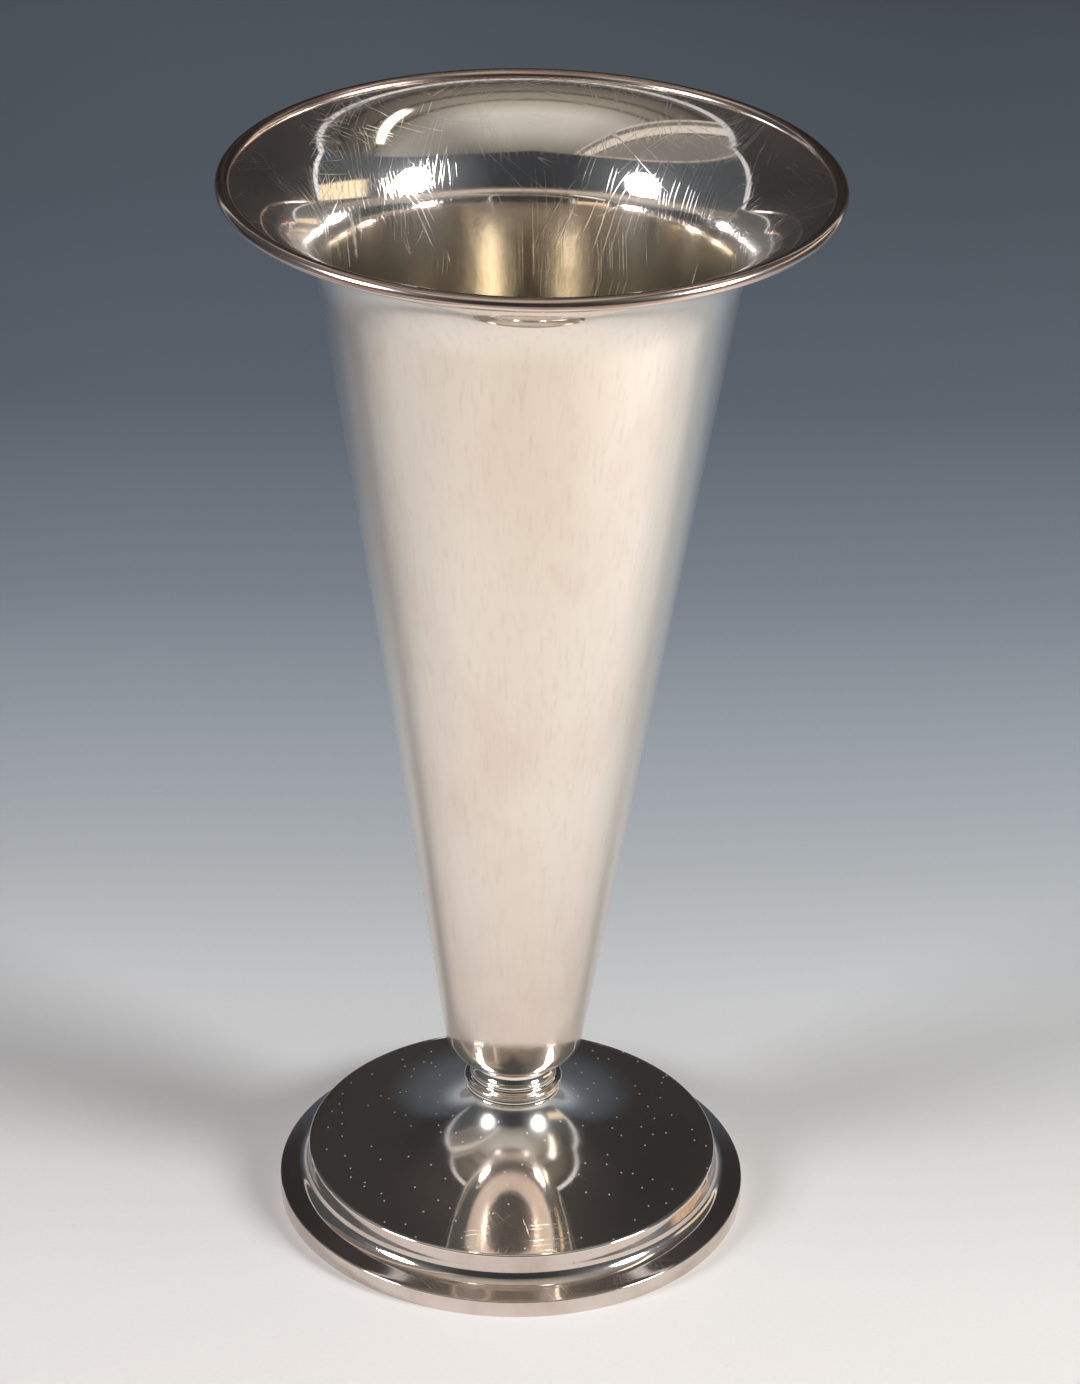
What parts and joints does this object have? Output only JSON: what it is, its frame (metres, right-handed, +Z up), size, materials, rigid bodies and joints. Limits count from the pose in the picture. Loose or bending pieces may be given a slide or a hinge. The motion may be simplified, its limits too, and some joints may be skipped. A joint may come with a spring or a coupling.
{
  "type": "trumpet vase",
  "caption": "Tall silver trumpet vase: a straight cone with a wide flared lip and rounded lower end, a beaded neck, and a weighted round foot with a stepped edge.",
  "frame": {"origin": "centre of the resting face under the foot", "axes": "+Z up along the axis of the vase, towards the open mouth"},
  "size_m": [0.1288, 0.1288, 0.245],
  "materials": {
    "polished_silver": "polished, lightly worn",
    "bright_steel": "turned",
    "pitch_filling": "cast, dull",
    "tinned_plate": "satin",
    "green_baize": "napped cloth"
  },
  "bodies": {
    "root": {"trumpet_body": "polished_silver", "rim_wire": "polished_silver", "neck_spool": "polished_silver", "collar_ring": "polished_silver", "foot_shell": "polished_silver", "foot_band": "polished_silver", "tie_stud": "bright_steel", "stud_washer": "bright_steel", "stud_nut": "bright_steel", "foot_loading": "pitch_filling", "base_plate": "tinned_plate", "baize_pad": "green_baize"}
  },
  "joints": []
}
